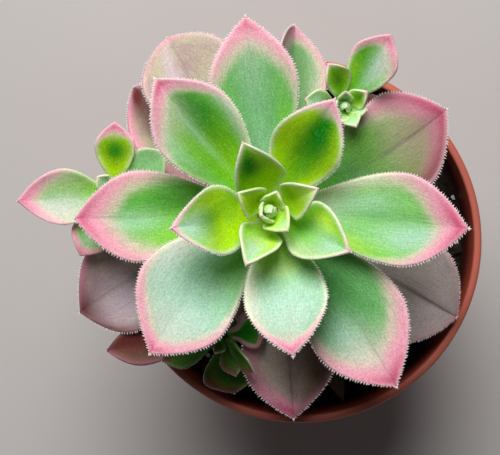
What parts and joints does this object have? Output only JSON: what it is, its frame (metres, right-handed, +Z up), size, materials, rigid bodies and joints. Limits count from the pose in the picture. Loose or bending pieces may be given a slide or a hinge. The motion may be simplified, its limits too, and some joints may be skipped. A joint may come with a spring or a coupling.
{
  "type": "potted aeonium",
  "caption": "Rosette succulent with side rosettes on a branching woody stem, standing in soil in a round flared plastic pot.",
  "frame": {"origin": "middle of the pot's flat underside, on the plane that the pot stands on", "axes": "+Z up along the pot's axis, +X and +Y level, with the two largest side rosettes towards -X and +Y"},
  "size_m": [0.1298, 0.1127, 0.1404],
  "materials": {
    "pot": "satin",
    "soil": "matte",
    "bark": "matte",
    "young_leaf": "satin",
    "green_leaf": "satin",
    "mauve_leaf": "satin",
    "side_leaf": "satin",
    "withered_leaf": "matte"
  },
  "bodies": {
    "root": {"pot": "pot", "soil": "soil", "stem": "bark", "heart": "young_leaf", "leaf_04": "green_leaf", "leaf_05": "green_leaf", "leaf_06": "green_leaf", "leaf_07": "green_leaf", "leaf_08": "green_leaf", "leaf_09": "green_leaf", "leaf_10": "green_leaf", "leaf_11": "green_leaf", "leaf_12": "green_leaf", "leaf_13": "green_leaf", "leaf_14": "green_leaf", "leaf_15": "green_leaf", "leaf_16": "green_leaf", "leaf_17": "green_leaf", "leaf_18": "mauve_leaf", "leaf_19": "mauve_leaf", "leaf_20": "mauve_leaf", "leaf_21": "mauve_leaf", "leaf_22": "mauve_leaf", "withered_leaf": "withered_leaf", "leaf_24": "mauve_leaf", "side_rosette_a": "side_leaf", "side_rosette_b": "side_leaf", "side_rosette_c": "side_leaf"}
  },
  "joints": []
}
